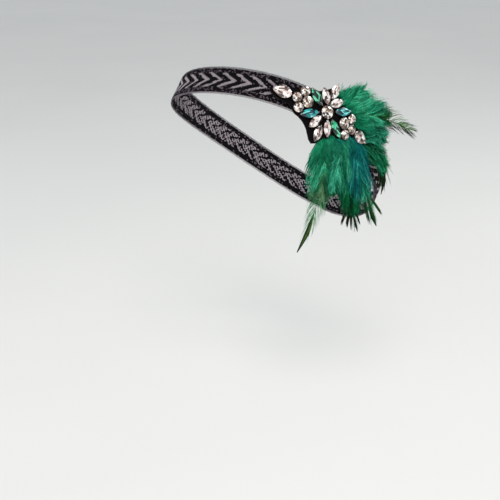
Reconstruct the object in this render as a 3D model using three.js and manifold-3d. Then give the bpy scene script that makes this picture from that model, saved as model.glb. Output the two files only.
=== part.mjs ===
import * as THREE from 'three';
import { mergeVertices } from 'three/addons/utils/BufferGeometryUtils.js';
import Module from 'manifold-3d';

const wasm = await Module();
wasm.setup();

// Ribbon loop, in millimetres: an elliptical ring worn high at the front
const HALF_WIDTH = 72.5;
const HALF_LENGTH = 89;
const TILT = THREE.MathUtils.degToRad(38.4);
const WAVE = 5.94;
const WAVE_CREST = THREE.MathUtils.degToRad(67);
const RIBBON_WIDTH = 20;
const RIBBON_WALL = 1;
const LAP = 18;
const LAP_RISE = 26;
const RIBBON_STATIONS = 104;
const GAP = 0.3;
const FUSE_TRIM = 0.05;

// Spray of stones, placed by arc length from the front centre and height across the ribbon
const SPRAY_ARC = 79;
const SPRAY_RISE = -1.56;
const HANG_TURN = THREE.MathUtils.degToRad(33);
const FELT_UNDER = 1.8;
const FELT_WALL = 1.5;

// Claw cups and stones
const CUP_LIFT = FELT_UNDER + FELT_WALL + GAP;
const CUP_RIM = 1.7;
const CUP_FLOOR = 0.6;
const CUP_INSET = 0.1;
const CUP_WALL = 0.45;
const STONE_INSET = 0.4;
const GIRDLE_Z = 2;
const CULET_Z = 0.9;
const TABLE_Z = 3;
const CLAW_WIDTH = 0.8;
const CLAW_THICK = 0.35;
const CLAW_REACH = 0.95;
const CLAW_TOP = 3.1;

// Feathers
const QUILL = 0.5;
const SEAT = FELT_UNDER / 2;
const HANG_START = 10;
const HANG_BOW = 160;
const AFT_START = 25;
const AFT_BOW = 250;
const HUG_FADE = 10;
const CORE_THICK = 0.55;
const LOCK_THICK = 0.5;

function paint(color, roughness, metalness) {
  return new THREE.MeshStandardMaterial({ color, roughness, metalness });
}

const lerp = THREE.MathUtils.lerp;
const smooth = THREE.MathUtils.smoothstep;
const wobble = (k) => Math.sin(k * 12.9898 + 0.7);

// Value a share of the way through a short list of evenly spread values
function through(values, share) {
  const spot = THREE.MathUtils.clamp(share, 0, 1) * (values.length - 1);
  const low = Math.min(Math.floor(spot), values.length - 2);
  return lerp(values[low], values[low + 1], spot - low);
}

// Closed mesh from rings of equal point count, each end shut by a fan or drawn to a point
function loft(rings, tip = null) {
  const count = rings[0].length;
  const points = rings.flat();
  const faces = [];
  for (let r = 0; r + 1 < rings.length; r += 1) {
    for (let k = 0; k < count; k += 1) {
      const here = r * count + k;
      const next = r * count + ((k + 1) % count);
      faces.push(here, next, next + count, here, next + count, here + count);
    }
  }
  for (let k = 1; k + 1 < count; k += 1) {
    faces.push(0, k + 1, k);
  }
  const end = (rings.length - 1) * count;
  if (tip) {
    const apex = points.push(tip) - 1;
    for (let k = 0; k < count; k += 1) {
      faces.push(end + k, end + ((k + 1) % count), apex);
    }
  } else {
    for (let k = 1; k + 1 < count; k += 1) {
      faces.push(end, end + k, end + k + 1);
    }
  }
  const geometry = new THREE.BufferGeometry();
  const position = points.flatMap((p) => [p.x, p.y, p.z]);
  geometry.setAttribute('position', new THREE.Float32BufferAttribute(position, 3));
  geometry.setIndex(faces);
  return outward(geometry);
}

// Turns a closed mesh so that its faces look out
function outward(geometry) {
  const p = geometry.getAttribute('position');
  const index = geometry.getIndex();
  const [a, b, c] = [new THREE.Vector3(), new THREE.Vector3(), new THREE.Vector3()];
  let volume = 0;
  for (let k = 0; k < index.count; k += 3) {
    a.fromBufferAttribute(p, index.getX(k));
    b.fromBufferAttribute(p, index.getX(k + 1));
    c.fromBufferAttribute(p, index.getX(k + 2));
    volume += a.dot(b.cross(c));
  }
  if (volume < 0) {
    for (let k = 0; k < index.count; k += 3) {
      const first = index.getX(k);
      index.setX(k, index.getX(k + 1));
      index.setX(k + 1, first);
    }
  }
  return geometry;
}

function solid(geometry) {
  const merged = mergeVertices(geometry, 1e-4);
  const position = merged.getAttribute('position').array;
  const index = merged.getIndex().array;
  return new wasm.Manifold(new wasm.Mesh({
    numProp: 3,
    vertProperties: new Float32Array(position),
    triVerts: new Uint32Array(index),
  }));
}

function fuse(geometries) {
  let body = solid(geometries[0]);
  for (const geometry of geometries.slice(1)) {
    body = body.add(solid(geometry));
  }
  const shells = body.simplify(FUSE_TRIM).decompose();
  const mesh = shells.reduce((best, shell) => (shell.volume() > best.volume() ? shell : best)).getMesh();
  const joined = new THREE.BufferGeometry();
  joined.setAttribute('position', new THREE.Float32BufferAttribute(mesh.vertProperties, 3));
  joined.setIndex(Array.from(mesh.triVerts));
  return joined;
}

// Angle round the ring, from the front, for a length along the ribbon
const RING_STEPS = 4000;
const ringArc = [];
let ringRun = 0;
for (let k = 0; k <= RING_STEPS; k += 1) {
  const mid = ((k - 0.5) / RING_STEPS) * Math.PI * 2;
  const step = (Math.PI * 2) / RING_STEPS;
  ringRun += k ? Math.hypot(HALF_WIDTH * Math.cos(mid), HALF_LENGTH * Math.sin(mid)) * step : 0;
  ringArc.push(ringRun);
}
const RING_LENGTH = ringRun;

function ringAngle(arc) {
  const turns = Math.floor(arc / RING_LENGTH);
  const rest = arc - turns * RING_LENGTH;
  let low = 0;
  let high = RING_STEPS;
  while (high - low > 1) {
    const mid = (low + high) >> 1;
    if (ringArc[mid] > rest) {
      high = mid;
    } else {
      low = mid;
    }
  }
  const part = (rest - ringArc[low]) / (ringArc[high] - ringArc[low]);
  return Math.PI * 2 * (turns + (low + part) / RING_STEPS);
}

// Point on the ring: length along, height across, distance out from the outer face
function onRing(arc, rise, out) {
  const angle = ringAngle(arc);
  const normal = new THREE.Vector2(HALF_LENGTH * Math.sin(angle), -HALF_WIDTH * Math.cos(angle));
  normal.normalize();
  return new THREE.Vector3(
    HALF_WIDTH * Math.sin(angle) + out * normal.x,
    -HALF_LENGTH * Math.cos(angle) + out * normal.y,
    rise + WAVE * Math.cos(2 * (angle - WAVE_CREST)),
  );
}

const onSpray = (u, v, out) => onRing(SPRAY_ARC + u, SPRAY_RISE + v, out);

function sprayBasis(u, v) {
  const run = onSpray(u + 0.5, v, 0).sub(onSpray(u - 0.5, v, 0)).normalize();
  const normal = onSpray(u, v, 1).sub(onSpray(u, v, 0)).normalize();
  const across = normal.clone().cross(run);
  return { run, across, normal };
}

// Ribbon with its ends lapped at the centre back
function ribbon() {
  const start = -RING_LENGTH / 2 - LAP / 2;
  const length = RING_LENGTH + LAP;
  const rings = [];
  for (let k = 0; k <= RIBBON_STATIONS; k += 1) {
    const gone = (length * k) / RIBBON_STATIONS;
    const over = smooth(gone, length - LAP - LAP_RISE, length - LAP) * (RIBBON_WALL + GAP);
    const half = RIBBON_WIDTH / 2;
    rings.push([
      onRing(start + gone, -half, over),
      onRing(start + gone, half, over),
      onRing(start + gone, half, over - RIBBON_WALL),
      onRing(start + gone, -half, over - RIBBON_WALL),
    ]);
  }
  return loft(rings);
}

// Felt plate: how far it spreads below and above, by distance along the ribbon from the middle
const FELT_SPREAD = [
  { run: 0, below: 22.6, above: 19.6 },
  { run: 2.5, below: 21.2, above: 16.6 },
  { run: 5, below: 18.2, above: 14.2 },
  { run: 7.2, below: 15.4, above: 12.6 },
  { run: 9.4, below: 13.6, above: 10.6 },
  { run: 12, below: 11.9, above: 10 },
  { run: 15, below: 10.6, above: 9.6 },
  { run: 18, below: 9.8, above: 9.2 },
  { run: 21, below: 7.6, above: 6.9 },
  { run: 23.5, below: 5.4, above: 4.6 },
  { run: 27, below: 4.9, above: 4.4 },
  { run: 31, below: 4.5, above: 4.2 },
  { run: 34, below: 3.4, above: 3.2 },
  { run: 36.4, below: 1.9, above: 1.7 },
  { run: 38, below: 0.6, above: 0.5 },
];

function felt() {
  const fore = FELT_SPREAD.slice(1).reverse().map((row) => ({ ...row, run: -row.run }));
  const rings = [...fore, ...FELT_SPREAD].map(({ run: u, below, above }) => [
    onSpray(u, -below, FELT_UNDER + FELT_WALL),
    onSpray(u, above, FELT_UNDER + FELT_WALL),
    onSpray(u, above, FELT_UNDER),
    onSpray(u, -below, FELT_UNDER),
  ]);
  return loft(rings);
}

// Girdle outlines by half length and half breadth, all with the long axis along x
const SIDES = { round: 10, navette: 10, pear: 12 };

function outline(cut, half, breadth, turn = 0) {
  const ring = [];
  for (let k = 0; k < SIDES[cut]; k += 1) {
    const angle = ((k + turn) / SIDES[cut]) * Math.PI * 2;
    const [c, s] = [Math.cos(angle), Math.sin(angle)];
    if (cut === 'round') {
      ring.push([half * c, half * s]);
    } else if (cut === 'navette') {
      const x = Math.sign(c) * (1 - (1 - Math.abs(c)) ** 0.8);
      ring.push([half * x, breadth * Math.sign(s) * Math.abs(s) ** 1.25]);
    } else {
      const taper = c > 0 ? 1 - 0.42 * c : 1;
      ring.push([half * (c > 0 ? c : 0.82 * c) - half * 0.06, breadth * s * taper]);
    }
  }
  return ring;
}

const level = (ring, z) => ring.map(([x, y]) => new THREE.Vector3(x, y, z));

function cup(cut, half, breadth) {
  const ring = (inset, z) => level(outline(cut, half - inset, breadth - inset), z);
  return loft([
    ring(CUP_INSET + 0.4, 0),
    ring(CUP_INSET, CUP_RIM),
    ring(CUP_INSET + CUP_WALL, CUP_RIM),
    ring(CUP_INSET + CUP_WALL + 0.5, CUP_FLOOR),
  ]);
}

// Claw: a bent tab that rises from the rim and leans over the stone
function claw(edge, inwards) {
  const side = new THREE.Vector3(-inwards.y, inwards.x, 0).multiplyScalar(CLAW_WIDTH / 2);
  const inner = CLAW_THICK - CUP_INSET;
  const profile = [
    [-CUP_INSET, CUP_RIM - 0.5],
    [-CUP_INSET, CLAW_TOP - 0.5],
    [CLAW_REACH, CLAW_TOP],
    [inner, GIRDLE_Z + 0.45],
    [inner, CUP_RIM - 0.5],
  ];
  const face = (sign) => profile.map(([reach, z]) => edge.clone()
    .addScaledVector(inwards, reach)
    .addScaledVector(side, sign)
    .setZ(z));
  return loft([face(-1), face(1)]);
}

const CLAW_AT = { round: [1, 4, 6, 9], navette: [0, 5], pear: [0, 4, 8] };

function setting(cut, half, breadth) {
  const parts = [cup(cut, half, breadth)];
  for (const at of CLAW_AT[cut]) {
    const [x, y] = outline(cut, half, breadth, at)[0];
    const edge = new THREE.Vector3(x, y, 0);
    const inwards = edge.clone().multiplyScalar(-1).normalize();
    parts.push(claw(edge, inwards));
  }
  return fuse(parts);
}

// Cut stone: pointed back, crown of kite and star facets, flat table
function stone(cut, half, breadth) {
  const least = Math.min(half, breadth) - STONE_INSET;
  const ring = (share, z, turn = 0) => {
    const inset = STONE_INSET + least * share;
    return level(outline(cut, half - inset, breadth - inset, turn), z);
  };
  return loft([
    ring(0.64, CULET_Z),
    ring(0, GIRDLE_Z),
    ring(0.26, lerp(GIRDLE_Z, TABLE_Z, 0.62), cut === 'round' ? 0.5 : 0),
    ring(0.5, TABLE_Z),
  ]);
}

const champagne = ['#c9b79c', 0.08, 0.15];
const crystal = ['#d9d3d8', 0.06, 0.15];
const emerald = ['#0b5a3c', 0.08, 0.15];
const teal = ['#0f8f96', 0.08, 0.15];
const gunmetal = ['#2a2628', 0.35, 0.85];

// One row per stone: name, cut, place along and across, turn in degrees, half length, half breadth, colour
const STONES = [
  ['centre', 'round', 0, 0, 0, 4.1, 4.1, champagne],
  ['round_fore_inner', 'round', -14, 0, 0, 3.7, 3.7, champagne],
  ['round_fore_upper', 'round', -18, 5.8, 0, 3.1, 3.1, champagne],
  ['round_fore_lower', 'round', -17.8, -5.9, 0, 3.1, 3.1, champagne],
  ['round_fore_outer', 'round', -21.1, 0, 0, 3.1, 3.1, champagne],
  ['round_aft_inner', 'round', 14, 0, 0, 3.7, 3.7, champagne],
  ['round_aft_upper', 'round', 18, 5.8, 0, 3.1, 3.1, champagne],
  ['round_aft_lower', 'round', 18, -5.8, 0, 3.1, 3.1, champagne],
  ['round_aft_outer', 'round', 21.1, 0, 0, 3.1, 3.1, champagne],
  ['pear_fore', 'pear', -30.3, 0, 180, 6.7, 3.8, crystal],
  ['pear_aft', 'pear', 30.3, 0, 0, 6.7, 3.8, crystal],
  ['emerald_fore', 'navette', -10.1, 5.7, 145, 6.4, 2.75, emerald],
  ['emerald_aft', 'navette', 10, -6.3, -31, 6.4, 2.75, emerald],
  ['teal_fore', 'navette', -10, -6.3, 211, 6.4, 2.75, teal],
  ['teal_aft', 'navette', 10, 6.3, 31, 6.4, 2.75, teal],
  ['petal_upper_fore', 'navette', -5, 9, 127, 5.5, 2.75, crystal],
  ['petal_upper_aft', 'navette', 3.2, 8.4, 42, 5.5, 2.75, crystal],
  ['petal_upper_middle', 'navette', -0.8, 14.8, 89, 5.5, 2.9, crystal],
  ['petal_lower_fore', 'navette', -4.6, -9.4, 244, 5.5, 2.75, crystal],
  ['petal_lower_aft', 'navette', 4.6, -9.4, 296, 5.5, 2.75, crystal],
  ['petal_lower_middle', 'navette', 0, -15.5, 270, 5.5, 2.8, crystal],
];

// One row per feather: root, bend and tip of the shaft in the level plane of the spray (aft, up);
// layer: height of the vane over the resting surface; hug: length kept close to the ribbon;
// first and last: where the locks leave the shaft; left and right: how far they reach on each side;
// open and close: lock angle in degrees at first and last; lance: half breadth of the tip
const FEATHERS = [
  { name: 'crest', root: [10.5, 1.6], bend: [17, 3], tip: [33, 12], layer: -2.8, hug: 5.5,
    first: 6, last: 20, left: [5, 6.5, 7, 4.5], right: [6.5, 10, 10.5, 6.5], open: 68, close: 34,
    locks: 5, lance: 1.8, tint: '#0f8a60' },
  { name: 'back_upper', root: [13, -2], bend: [49, -4.5], tip: [73, -21], layer: 0.8, hug: 9.5,
    first: 10, last: 35, left: [13, 17, 13, 6], right: [0, 4.5, 7, 4.5], open: 82, close: 30,
    locks: 7, lance: 1.5, tint: '#137a50' },
  { name: 'back_middle', root: [17.5, -4.6], bend: [34, -11], tip: [48.5, -22], layer: -3.4, hug: 11,
    first: 10, last: 29, left: [4, 6, 4], right: [2.5, 9, 8], open: 58, close: 30,
    locks: 5, lance: 1.8, tint: '#16936a' },
  { name: 'back_lower', root: [27.3, -17.6], bend: [53, -27], tip: [45.8, -57], layer: -6.6, hug: 6,
    first: 8, last: 32, left: [3.4, 4, 3], right: [13, 15, 8], open: 70, close: 24,
    locks: 6, lance: 1.3, tint: '#0b5a38' },
  { name: 'hang_front', root: [1.7, -11.2], bend: [-1.5, -53], tip: [-19.8, -87], layer: -3.8, hug: 1,
    first: 5, last: 44, left: [8, 10, 11, 6], right: [17, 21, 18, 8], open: 66, close: 20,
    locks: 8, lance: 2, tint: '#128a5e' },
  { name: 'hang_middle', root: [15.5, -12], bend: [7, -32], tip: [3.8, -54], layer: -0.6, hug: 8,
    first: 9, last: 36, left: [8, 12, 13, 7], right: [6, 7.5, 6], open: 60, close: 26,
    locks: 6, lance: 2.2, tint: '#17946c' },
  { name: 'hang_rear', root: [23, -13], bend: [21.7, -45], tip: [41.6, -78], layer: -3.8, hug: 10,
    first: 11, last: 45, left: [10, 12, 11, 6], right: [9, 12, 10, 5], open: 62, close: 20,
    locks: 7, lance: 2, tint: '#0a6d68' },
  { name: 'hang_under', root: [18.6, -15.6], bend: [18.7, -50], tip: [30, -80], layer: -9.6, hug: 7.5,
    first: 20, last: 52, left: [9, 13, 10], right: [10, 14, 11], open: 52, close: 22,
    locks: 6, lance: 1.8, tint: '#0c5b3a' },
];

const SPRAY_CENTRE = onSpray(0, 0, 0);
const SPRAY = sprayBasis(0, 0);

// Height of the ribbon's outer face over the plane of the spray
function ribbonHeight(u) {
  let arc = u;
  const span = new THREE.Vector3();
  for (let k = 0; k < 5; k += 1) {
    span.copy(onSpray(arc, 0, 0)).sub(SPRAY_CENTRE);
    arc += u - span.dot(SPRAY.run);
  }
  return span.dot(SPRAY.normal);
}

// Level plane of the spray: aft and up, with the height over that plane
function onPlane(aft, up, height) {
  const u = aft * Math.cos(HANG_TURN) - up * Math.sin(HANG_TURN);
  const v = aft * Math.sin(HANG_TURN) + up * Math.cos(HANG_TURN);
  return SPRAY_CENTRE.clone()
    .addScaledVector(SPRAY.run, u)
    .addScaledVector(SPRAY.across, v)
    .addScaledVector(SPRAY.normal, height);
}

function featherHeight(row, aft, up, gone) {
  const u = aft * Math.cos(HANG_TURN) - up * Math.sin(HANG_TURN);
  const hang = Math.max(0, -up - HANG_START) ** 2 / (2 * HANG_BOW);
  const away = Math.max(0, aft - AFT_START) ** 2 / (2 * AFT_BOW);
  const free = SEAT + row.layer - hang - away;
  const close = ribbonHeight(Math.min(u, 45)) + SEAT;
  return lerp(close, free, smooth(gone, row.hug, row.hug + HUG_FADE));
}

function shaft(row) {
  const [r, b, t] = [row.root, row.bend, row.tip].map(([x, y]) => new THREE.Vector2(x, y));
  const curve = new THREE.QuadraticBezierCurve(r, b, t);
  const length = curve.getLength();
  const at = (gone) => {
    const part = THREE.MathUtils.clamp(gone / length, 0, 1);
    return { place: curve.getPointAt(part), heading: curve.getTangentAt(part) };
  };
  return { length, at };
}

// Diamond section of a feather part, square to its heading
function diamond(row, place, heading, gone, half, thick, lift = 0) {
  const side = new THREE.Vector2(-heading.y, heading.x);
  const left = place.clone().addScaledVector(side, half);
  const right = place.clone().addScaledVector(side, -half);
  const height = featherHeight(row, place.x, place.y, gone) + lift;
  return [
    onPlane(left.x, left.y, featherHeight(row, left.x, left.y, gone) + lift),
    onPlane(place.x, place.y, height + thick),
    onPlane(right.x, right.y, featherHeight(row, right.x, right.y, gone) + lift),
    onPlane(place.x, place.y, height - thick),
  ];
}

function core(row) {
  const line = shaft(row);
  const full = (row.last - row.first) * 0.25;
  const stops = [
    [0, QUILL], [row.hug * 0.5, QUILL], [row.hug, QUILL], [row.first - 1, QUILL], [row.first + full, 2.6],
    [lerp(row.first, row.last, 0.6), 2.3], [row.last, row.lance],
    [lerp(row.last, line.length, 0.5), row.lance], [line.length - 2.5, row.lance * 0.5],
  ];
  const rings = stops.map(([gone, half]) => {
    const { place, heading } = line.at(gone);
    return diamond(row, place, heading, gone, half, half > QUILL ? CORE_THICK : QUILL);
  });
  const { place } = line.at(line.length);
  return loft(rings, onPlane(place.x, place.y, featherHeight(row, place.x, place.y, line.length)));
}

// Lock: a tapering blade, flat below and ridged above, that leaves the shaft and curls towards the tip
const LOCK_HALF = 2.8;
const LOCK_LONGEST = [22, 13];
const LOCK_SHOULDER = 0.62;

function lock(row, number, side) {
  const line = shaft(row);
  const part = number / (row.locks - 1);
  const seed = number * 2 + (side > 0 ? 1 : 0) + row.name.length * 7;
  const from = lerp(row.first, row.last, part) + wobble(seed) * 0.7;
  const open = THREE.MathUtils.degToRad(lerp(row.open, row.close, part) + wobble(seed + 5) * 4);
  const reach = through(side > 0 ? row.left : row.right, part) * (1 + 0.1 * wobble(seed + 9));
  const longest = Math.min(through(LOCK_LONGEST, part), line.length - from + 1);
  const length = Math.min(reach / Math.sin(open * 0.8), longest);
  const { place, heading } = line.at(from);
  const lift = 0.2 * wobble(seed + 3);
  const slim = lerp(1, 0.6, part);
  const blade = (share) => {
    const way = heading.clone().rotateAround(new THREE.Vector2(), side * open * (1 - 0.28 * share));
    const spot = place.clone().addScaledVector(way, length * share);
    return { spot, way, gone: from + length * share * Math.cos(open) };
  };
  const section = (share, half, thick) => {
    const { spot, way, gone } = blade(share);
    const across = new THREE.Vector2(-way.y, way.x);
    const at = (reachOut, up) => {
      const p = spot.clone().addScaledVector(across, reachOut);
      return onPlane(p.x, p.y, featherHeight(row, p.x, p.y, gone) + lift + up);
    };
    return [at(half, -thick * 0.4), at(0, thick), at(-half, -thick * 0.4)];
  };
  const end = blade(1);
  const tip = onPlane(end.spot.x, end.spot.y, featherHeight(row, end.spot.x, end.spot.y, end.gone) + lift);
  const half = LOCK_HALF * slim;
  return loft([section(0, half, LOCK_THICK), section(LOCK_SHOULDER, half, LOCK_THICK * 0.8)], tip);
}

function feather(row) {
  const parts = [core(row)];
  for (let k = 0; k < row.locks; k += 1) {
    for (const side of [1, -1]) {
      const share = k / (row.locks - 1);
      if (through(side > 0 ? row.left : row.right, share) > 1) {
        parts.push(lock(row, k, side));
      }
    }
  }
  return fuse(parts);
}

const loop = new THREE.Group();
loop.name = 'headband_loop';
loop.rotation.x = -TILT;

function put(group, name, geometry, look) {
  const mesh = new THREE.Mesh(geometry, paint(...look));
  mesh.name = name;
  group.add(mesh);
  return mesh;
}

put(loop, 'band', ribbon(), ['#2b272b', 0.8, 0.05]);
put(loop, 'backing', felt(), ['#121113', 0.95, 0]);

for (const [name, cut, u, v, turn, half, breadth, look] of STONES) {
  const { run, across, normal } = sprayBasis(u, v);
  const seat = new THREE.Group();
  seat.name = `seat_${name}`;
  const spin = new THREE.Matrix4().makeRotationZ(THREE.MathUtils.degToRad(turn));
  const basis = new THREE.Matrix4().makeBasis(run, across, normal);
  seat.setRotationFromMatrix(basis.multiply(spin));
  seat.position.copy(onSpray(u, v, CUP_LIFT));
  put(seat, `setting_${name}`, setting(cut, half, breadth), gunmetal);
  put(seat, `stone_${name}`, stone(cut, half, breadth), look);
  loop.add(seat);
}

for (const row of FEATHERS) {
  put(loop, `feather_${row.name}`, feather(row), [row.tint, 0.85, 0]);
}

const headband = new THREE.Group();
headband.name = 'flapper_headband';
headband.add(loop);

export default headband;
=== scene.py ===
import math

import bmesh
import bpy
import numpy as np
from mathutils import Matrix, Vector


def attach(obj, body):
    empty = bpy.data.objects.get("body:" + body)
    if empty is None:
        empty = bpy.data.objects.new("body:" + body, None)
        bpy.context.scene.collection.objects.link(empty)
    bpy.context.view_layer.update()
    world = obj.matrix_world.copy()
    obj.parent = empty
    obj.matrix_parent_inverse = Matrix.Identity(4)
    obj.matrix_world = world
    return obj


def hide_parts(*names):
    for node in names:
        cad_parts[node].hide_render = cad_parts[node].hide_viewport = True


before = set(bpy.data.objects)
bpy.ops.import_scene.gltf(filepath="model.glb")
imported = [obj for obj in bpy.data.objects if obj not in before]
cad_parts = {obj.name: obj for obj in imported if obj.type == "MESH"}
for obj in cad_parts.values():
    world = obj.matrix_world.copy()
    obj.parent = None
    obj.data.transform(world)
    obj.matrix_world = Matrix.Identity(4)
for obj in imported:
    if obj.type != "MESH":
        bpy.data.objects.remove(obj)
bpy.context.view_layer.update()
bpy.ops.object.select_all(action="DESELECT")
draw = np.random.default_rng(1926)  # every random choice below comes from this one seed
mm = 0.001
print("frame loaded,", len(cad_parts), "nodes")


# Small helpers for materials and meshes

def linear(colour):
    parts = [int(colour[k:k + 2], 16) / 255 for k in (1, 3, 5)]
    return [c / 12.92 if c <= 0.04045 else ((c + 0.055) / 1.055) ** 2.4 for c in parts]


def paint(colour):
    return [*linear(colour), 1]


def addNode(tree, kind, settings, inputs):
    node = tree.nodes.new(kind)
    for name, value in settings.items():
        setattr(node, name, value)
    for name, value in inputs.items():
        if isinstance(value, tuple):  # a node and its output
            tree.links.new(value[0].outputs[value[1]], node.inputs[name])
        else:
            node.inputs[name].default_value = value
    return node


def startMaterial(name):
    material = bpy.data.materials.new(name)
    material.use_nodes = True
    tree = material.node_tree
    tree.nodes.clear()
    return material, tree, addNode(tree, "ShaderNodeTexCoord", {}, {})


def arrayPiece(name, points, faces, materials, tints=None, picks=None):
    mesh = bpy.data.meshes.new(name)
    count, corners = faces.shape
    mesh.vertices.add(len(points))
    mesh.vertices.foreach_set("co", (points * mm).astype(np.float32).ravel())
    mesh.loops.add(count * corners)
    mesh.loops.foreach_set("vertex_index", faces.astype(np.int32).ravel())
    mesh.polygons.add(count)
    mesh.polygons.foreach_set("loop_start", np.arange(0, count * corners, corners, dtype=np.int32))
    mesh.polygons.foreach_set("use_smooth", np.ones(count, bool))
    for material in materials:
        mesh.materials.append(material)
    if picks is not None:
        mesh.polygons.foreach_set("material_index", picks.astype(np.int32))
    mesh.update(calc_edges=True)
    if tints is not None:
        layer = mesh.attributes.new("tint", "FLOAT_COLOR", "POINT")
        whole = np.concatenate([tints, np.ones((len(tints), 1))], axis=1)
        layer.data.foreach_set("color", whole.astype(np.float32).ravel())
    piece = bpy.data.objects.new(name, mesh)
    bpy.context.scene.collection.objects.link(piece)
    return piece


def outwards(points, faces):
    a, b, c = (points[faces[:, k]] for k in range(3))
    volume = np.einsum("ij,ij->i", a, np.cross(b, c)).sum()
    return faces if volume > 0 else faces[:, ::-1]


def unit(vectors):
    return vectors / (np.linalg.norm(vectors, axis=-1, keepdims=True) + 1e-12)


# Strands: rings of three points along each path, closed at the root and drawn to a point
def strands(paths, wide, thick, lean):
    count, stops, _ = paths.shape
    way = unit(np.gradient(paths, axis=1))
    side = unit(np.cross(way, lean))
    up = np.cross(side, way)
    turn = np.radians([90, 210, 330])
    reach = side[:, :-1, None] * (wide[:, :-1, None] * np.cos(turn))[..., None]
    lift = up[:, :-1, None] * (thick[:, :-1, None] * np.sin(turn))[..., None]
    ring = (paths[:, :-1, None] + reach + lift).reshape(count, 3 * (stops - 1), 3)
    points = np.concatenate([ring, paths[:, -1:]], axis=1)
    one = [[0, 2, 1]]
    for stop in range(stops - 2):
        for k in range(3):
            here, near = 3 * stop + k, 3 * stop + (k + 1) % 3
            one += [[here, near, near + 3], [here, near + 3, here + 3]]
    last, tip = 3 * (stops - 2), 3 * (stops - 1)
    one += [[last + k, last + (k + 1) % 3, tip] for k in range(3)]
    starts = np.arange(count) * points.shape[1]
    faces = (np.array(one)[None] + starts[:, None, None]).reshape(-1, 3)
    points = points.reshape(-1, 3)
    return points, outwards(points - points.mean(axis=0), faces)


def strandTints(tints):
    ring = np.repeat(tints[:, :-1], 3, axis=1)
    return np.concatenate([ring, tints[:, -1:]], axis=1).reshape(-1, 3)


def joined(parts):  # each part is points, faces and perhaps tints
    starts = np.cumsum([0] + [len(part[0]) for part in parts[:-1]])
    shifted = [(part[0], part[1] + start, *part[2:]) for part, start in zip(parts, starts)]
    return [np.concatenate(column) for column in zip(*shifted)]


def ramp(values, share):
    return np.interp(share, np.linspace(0, 1, len(values)), values)


def ease(value, low, high):
    part = np.clip((value - low) / (high - low), 0, 1)
    return part * part * (3 - 2 * part)


def flatGrid(name, columns, rows):  # a sheet from -1 to 1 each way, and its points
    bpy.ops.mesh.primitive_grid_add(x_subdivisions=columns, y_subdivisions=rows, size=2)
    piece = bpy.context.object
    piece.name = name
    flat = np.zeros(len(piece.data.vertices) * 3, np.float32)
    piece.data.vertices.foreach_get("co", flat)
    return piece, flat.reshape(-1, 3)


def thickSheet(piece, points, wall):  # lays the sheet's points, then gives it a wall
    piece.data.vertices.foreach_set("co", (points * mm).astype(np.float32).ravel())
    solid = piece.modifiers.new("wall", "SOLIDIFY")
    solid.thickness = wall * mm
    solid.offset = 0
    bpy.ops.object.modifier_apply(modifier=solid.name)


def softEdges(piece, width, segments, angle):
    soft = piece.modifiers.new("soft", "BEVEL")
    soft.width = width
    soft.segments = segments
    soft.limit_method = "ANGLE"
    soft.angle_limit = math.radians(angle)
    bpy.ops.object.modifier_apply(modifier=soft.name)


def finishSheet(piece, angle, material):
    bpy.ops.object.mode_set(mode="EDIT")
    bpy.ops.mesh.select_all(action="SELECT")
    bpy.ops.mesh.normals_make_consistent(inside=False)
    bpy.ops.object.mode_set(mode="OBJECT")
    bpy.ops.object.shade_smooth_by_angle(angle=math.radians(angle))
    piece.data.materials.append(material)
    bpy.ops.object.select_all(action="DESELECT")


# The loop: an elliptical ring, tilted high at the front, measured in millimetres
loopSize = {
    "halfWidth": 72.5,
    "halfLength": 89,
    "tilt": math.radians(38.4),
    "wave": 5.94,  # rise and fall of the ribbon round the ring
    "waveCrest": math.radians(67),
    "sprayArc": 79,  # middle of the spray, along the ribbon from the front
    "sprayRise": -1.56,
    "hangTurn": math.radians(33),  # from the ribbon's run to the level line of the spray
}

ringAngles = np.linspace(-2 * math.pi, 2 * math.pi, 16001)  # a full turn each way from the front
ringSteps = np.hypot(loopSize["halfWidth"] * np.cos(ringAngles), loopSize["halfLength"] * np.sin(ringAngles))
ringArcs = np.cumsum(ringSteps) * (ringAngles[1] - ringAngles[0])
ringArcs -= np.interp(0, ringAngles, ringArcs)
ringLength = np.interp(2 * math.pi, ringAngles, ringArcs)


def onRing(arc, rise, out):
    angle = np.interp(arc, ringArcs, ringAngles)
    nx = loopSize["halfLength"] * np.sin(angle)
    ny = -loopSize["halfWidth"] * np.cos(angle)
    size = np.hypot(nx, ny)
    x = loopSize["halfWidth"] * np.sin(angle) + out * nx / size
    y = -loopSize["halfLength"] * np.cos(angle) + out * ny / size
    z = rise + loopSize["wave"] * np.cos(2 * (angle - loopSize["waveCrest"]))
    c, s = math.cos(loopSize["tilt"]), math.sin(loopSize["tilt"])
    return np.stack([x, y * c + z * s, z * c - y * s], axis=-1)


def onSpray(u, v, out):
    return onRing(loopSize["sprayArc"] + u, loopSize["sprayRise"] + v, out)


def sprayBasis(u, v):
    run = unit(onSpray(u + 0.5, v, 0) - onSpray(u - 0.5, v, 0))
    normal = unit(onSpray(u, v, 1) - onSpray(u, v, 0))
    return run, np.cross(normal, run), normal


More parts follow.
